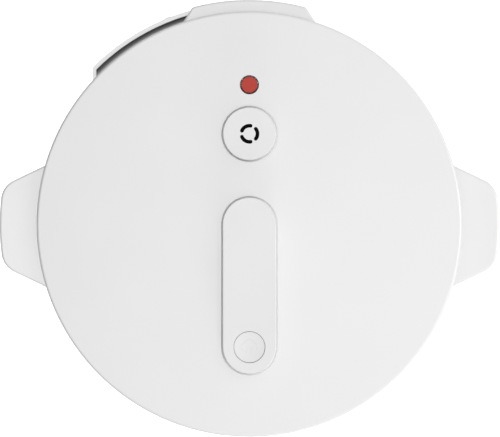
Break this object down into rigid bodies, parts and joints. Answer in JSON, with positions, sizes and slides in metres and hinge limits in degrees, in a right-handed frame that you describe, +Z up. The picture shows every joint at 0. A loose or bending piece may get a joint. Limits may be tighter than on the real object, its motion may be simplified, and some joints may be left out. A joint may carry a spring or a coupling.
{
  "type": "electric pressure cooker",
  "caption": "Round countertop electric pressure cooker with a twist-off bayonet lid, grip handle with release button, steam valve cap, red float pin, side ears and a front dial panel.",
  "frame": {"origin": "centre of the foot ring on the resting plane, on the lid's turning axis", "axes": "+Z up, -Y the front with the control panel, +Y the rear with the lid's tab and the condensate trough, +X to the right seen from above with the front below"},
  "size_m": [0.3294, 0.2877, 0.262],
  "materials": {
    "white_plastic": "fine satin texture",
    "white_gloss": "gloss",
    "dark_plastic": "matte",
    "black_gloss": "gloss",
    "display_glass": "smoked, polished",
    "steel": "brushed",
    "fastener_steel": "zinc plated",
    "spring_steel": "drawn wire",
    "aluminium": "cast and turned",
    "nonstick": "non-stick coating",
    "silicone": "satin, translucent",
    "black_rubber": "matte",
    "red_plastic": "satin",
    "translucent_plastic": "clear",
    "circuit_board": "solder mask",
    "component_plastic": "moulded",
    "insulation": "woven",
    "brass": "satin",
    "magnet": "nickel plated"
  },
  "bodies": {
    "base": {"housing": "white_plastic", "left_ear": "white_plastic", "right_ear": "white_plastic", "ear_screws": "fastener_steel", "upper_ring": "dark_plastic", "outer_pot": "steel", "heating_plate": "aluminium", "heating_tube": "steel", "insulation_band": "insulation", "support_posts": "steel", "pressure_switch": "component_plastic", "thermal_fuse": "insulation", "sensor_spring": "spring_steel", "sensor_bracket": "steel", "power_board": "circuit_board", "board_components": "component_plastic", "power_inlet": "dark_plastic", "inlet_pins": "brass", "reed_switch": "component_plastic", "cup_holder": "dark_plastic", "bottom_cover": "dark_plastic", "foot_ring": "black_rubber", "bottom_screws": "fastener_steel", "control_panel": "black_gloss", "display_lens": "display_glass", "display_module": "component_plastic", "control_board": "circuit_board", "tact_switches": "component_plastic", "knob_encoder": "component_plastic"},
    "inner_pot": {"inner_pot": "nonstick"},
    "seal": {"sealing_ring": "silicone"},
    "lid": {"lid_cover": "white_plastic", "lid_ring": "white_plastic", "steel_lid": "steel", "seal_retainer": "steel", "lid_screws": "fastener_steel", "handle": "white_plastic", "handle_screws": "fastener_steel", "steam_pipe": "steel", "pipe_nut": "steel", "steam_guide": "dark_plastic", "block_shield": "steel", "button_spring": "spring_steel", "lever_bracket": "steel", "lever_pin": "fastener_steel", "lock_guide": "dark_plastic", "lock_spring": "spring_steel", "lid_magnet": "magnet"},
    "float": {"float_pin": "red_plastic", "float_washer": "silicone"},
    "valve": {"valve_cap": "white_plastic", "valve_weight": "steel"},
    "button": {"release_button": "white_plastic"},
    "lever": {"release_lever": "dark_plastic"},
    "lock": {"lock_rod": "dark_plastic"},
    "knob": {"control_knob": "steel"},
    "start": {"start_key": "white_gloss"},
    "cancel": {"cancel_key": "white_gloss"},
    "sensor": {"temperature_sensor": "aluminium"},
    "cup": {"condensate_cup": "translucent_plastic"}
  },
  "joints": [
    {"name": "pot_lift", "type": "slide", "parent": "base", "child": "inner_pot", "axis": [0, 0, 1], "range_m": [0, 0.17]},
    {"name": "lid_lift", "type": "slide", "parent": "inner_pot", "child": "seal", "axis": [0, 0, 1], "range_m": [0, 0.14]},
    {"name": "lid_turn", "type": "hinge", "parent": "seal", "child": "lid", "pos_m": [0, 0, 0.206], "axis": [0, 0, 1], "range_deg": [0, 29.5]},
    {"name": "float_drop", "type": "slide", "parent": "lid", "child": "float", "axis": [0, 0, -1], "range_m": [-0.004, 0]},
    {"name": "button_press", "type": "slide", "parent": "lid", "child": "button", "axis": [0, 0, -1], "range_m": [0, 0.0025], "stiffness_N_per_m": 200, "springref_m": -0.001, "deforming": ["button_spring"]},
    {"name": "lever_tilt", "type": "hinge", "parent": "lid", "child": "lever", "pos_m": [0, -0.02, 0.219], "axis": [1, 0, 0], "range_deg": [0, 2.4]},
    {"name": "valve_lift", "type": "slide", "parent": "lid", "child": "valve", "axis": [0, 0, 1], "range_m": [0, 0.0033]},
    {"name": "lock_slide", "type": "slide", "parent": "lid", "child": "lock", "axis": [0, -1, 0], "range_m": [0, 0.0039], "deforming": ["lock_spring"]},
    {"name": "knob_turn", "type": "hinge", "parent": "base", "child": "knob", "pos_m": [0, -0.1365, 0.106], "axis": [0, -1, 0], "continuous": true},
    {"name": "start_press", "type": "slide", "parent": "base", "child": "start", "axis": [0, 1, 0], "range_m": [0, 0.001], "stiffness_N_per_m": 500, "springref_m": -0.0005},
    {"name": "cancel_press", "type": "slide", "parent": "base", "child": "cancel", "axis": [0, 1, 0], "range_m": [0, 0.001], "stiffness_N_per_m": 500, "springref_m": -0.0005},
    {"name": "sensor_press", "type": "slide", "parent": "base", "child": "sensor", "axis": [0, 0, -1], "range_m": [0, 0.002], "stiffness_N_per_m": 300, "springref_m": -0.001, "deforming": ["sensor_spring"]},
    {"name": "cup_pull", "type": "slide", "parent": "base", "child": "cup", "axis": [-0.2588, 0.9659, 0], "range_m": [0, 0.03]}
  ],
  "couplings": [
    {"joint": "lever_tilt", "follows": "button_press", "rad_per_m": 16.474},
    {"joint": "valve_lift", "follows": "button_press", "ratio": 1.3081},
    {"joint": "lock_slide", "follows": "lid_turn", "m_per_rad": 0.0073805}
  ]
}
